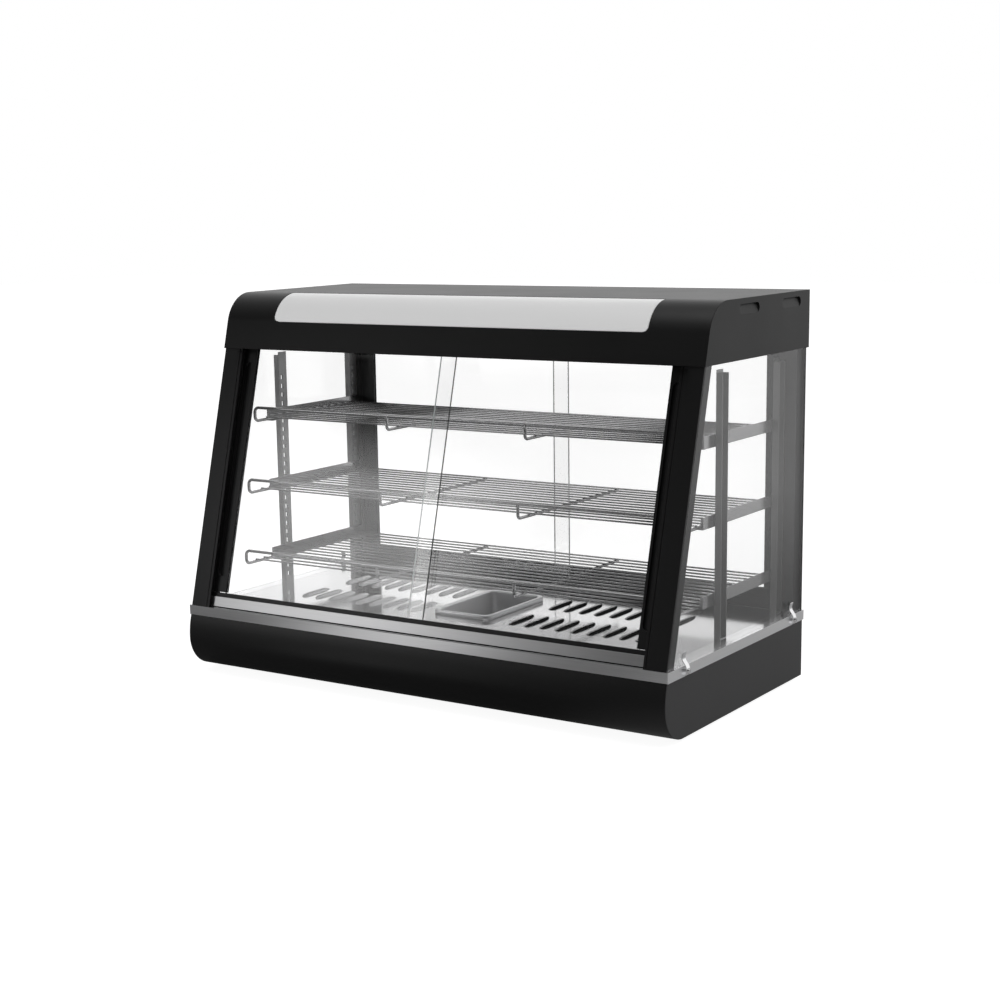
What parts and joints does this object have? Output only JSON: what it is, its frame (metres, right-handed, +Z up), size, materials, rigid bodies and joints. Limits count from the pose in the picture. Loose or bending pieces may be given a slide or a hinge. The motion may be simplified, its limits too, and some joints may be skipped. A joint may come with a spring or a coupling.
{
  "type": "hot food display case",
  "caption": "Countertop heated display case with sliding glass doors, wire shelves, a water pan and a lit canopy.",
  "frame": {"origin": "on the ground under the middle of the overall width and depth", "axes": "+X along the width to the right seen from the front, +Y from the leaning front to the rear, +Z up"},
  "size_m": [0.9148, 0.488, 0.625],
  "materials": {
    "black_paint": "satin",
    "black_anodised": "satin",
    "brushed_steel": "brushed",
    "satin_steel": "satin",
    "polished_steel": "polished",
    "clear_glass": "polished",
    "frosted_glass": "matte",
    "white_acrylic": "satin",
    "black_plastic": "satin",
    "red_plastic": "gloss",
    "green_plastic": "gloss",
    "amber_plastic": "gloss",
    "white_plastic": "satin",
    "heater_steel": "matte",
    "rubber": "matte"
  },
  "bodies": {
    "case": {"base_front_panel": "black_paint", "base_side_left": "black_paint", "base_side_right": "black_paint", "base_bottom_plate": "black_paint", "base_rear_panel": "black_paint", "canopy_front": "black_paint", "canopy_roof": "black_paint", "canopy_side_left": "black_paint", "canopy_side_right": "black_paint", "front_lower_track": "black_anodised", "front_upper_track": "black_anodised", "front_upright_left": "black_anodised", "front_upright_right": "black_anodised", "rear_upright_left": "black_anodised", "rear_upright_right": "black_anodised", "rear_lower_track": "black_anodised", "rear_upper_track": "black_anodised", "trim_band": "brushed_steel", "front_sill": "brushed_steel", "ceiling_panel": "brushed_steel", "element_brackets": "brushed_steel", "pilaster_front_left": "satin_steel", "pilaster_front_right": "satin_steel", "pilaster_rear_left": "satin_steel", "pilaster_rear_right": "satin_steel", "thermostat": "satin_steel", "deck_plate": "polished_steel", "glass_clips": "polished_steel", "shelf_rails_top": "polished_steel", "shelf_rails_middle": "polished_steel", "shelf_rails_bottom": "polished_steel", "screws": "polished_steel", "side_glass_left": "clear_glass", "side_glass_right": "clear_glass", "lamp_tube": "frosted_glass", "light_diffuser": "white_acrylic", "switch_housings": "black_plastic", "cable_gland": "black_plastic", "pilot_lamp": "amber_plastic", "terminal_block": "white_plastic", "lamp_holders": "white_plastic", "heating_elements": "heater_steel", "feet": "rubber"},
    "front_left_door": {"front_door_glass_left": "clear_glass", "front_door_handle_left": "black_anodised"},
    "front_right_door": {"front_door_glass_right": "clear_glass", "front_door_handle_right": "black_anodised"},
    "rear_left_door": {"rear_door_glass_left": "clear_glass", "rear_door_handle_left": "black_anodised"},
    "rear_right_door": {"rear_door_glass_right": "clear_glass", "rear_door_handle_right": "black_anodised"},
    "knob": {"thermostat_knob": "black_plastic", "thermostat_spindle": "brushed_steel"},
    "power_switch": {"power_rocker": "red_plastic"},
    "light_switch": {"light_rocker": "green_plastic"},
    "pan": {"water_pan": "polished_steel"},
    "top_shelf": {"wire_shelf_top": "polished_steel"},
    "middle_shelf": {"wire_shelf_middle": "polished_steel"},
    "bottom_shelf": {"wire_shelf_bottom": "polished_steel"}
  },
  "joints": [
    {"name": "front_left_door_slide", "type": "slide", "parent": "case", "child": "front_left_door", "axis": [1, 0, 0], "range_m": [0, 0.38]},
    {"name": "front_right_door_slide", "type": "slide", "parent": "case", "child": "front_right_door", "axis": [-1, 0, 0], "range_m": [0, 0.38]},
    {"name": "rear_left_door_slide", "type": "slide", "parent": "case", "child": "rear_left_door", "axis": [1, 0, 0], "range_m": [0, 0.38]},
    {"name": "rear_right_door_slide", "type": "slide", "parent": "case", "child": "rear_right_door", "axis": [-1, 0, 0], "range_m": [0, 0.38]},
    {"name": "thermostat_turn", "type": "hinge", "parent": "case", "child": "knob", "pos_m": [0.33, 0.229, 0.054], "axis": [0, -1, 0], "range_deg": [0, 270]},
    {"name": "power_rocker_tilt", "type": "hinge", "parent": "case", "child": "power_switch", "pos_m": [0.23, 0.222, 0.054], "axis": [-1, 0, 0], "range_deg": [0, 20]},
    {"name": "light_rocker_tilt", "type": "hinge", "parent": "case", "child": "light_switch", "pos_m": [0.265, 0.222, 0.054], "axis": [-1, 0, 0], "range_deg": [0, 20]},
    {"name": "water_pan_lift", "type": "slide", "parent": "case", "child": "pan", "axis": [0, 0, 1], "range_m": [0, 0.04]},
    {"name": "top_shelf_lift", "type": "slide", "parent": "case", "child": "top_shelf", "axis": [0, 0, 1], "range_m": [0, 0.015]},
    {"name": "middle_shelf_lift", "type": "slide", "parent": "case", "child": "middle_shelf", "axis": [0, 0, 1], "range_m": [0, 0.015]},
    {"name": "bottom_shelf_lift", "type": "slide", "parent": "case", "child": "bottom_shelf", "axis": [0, 0, 1], "range_m": [0, 0.015]}
  ]
}
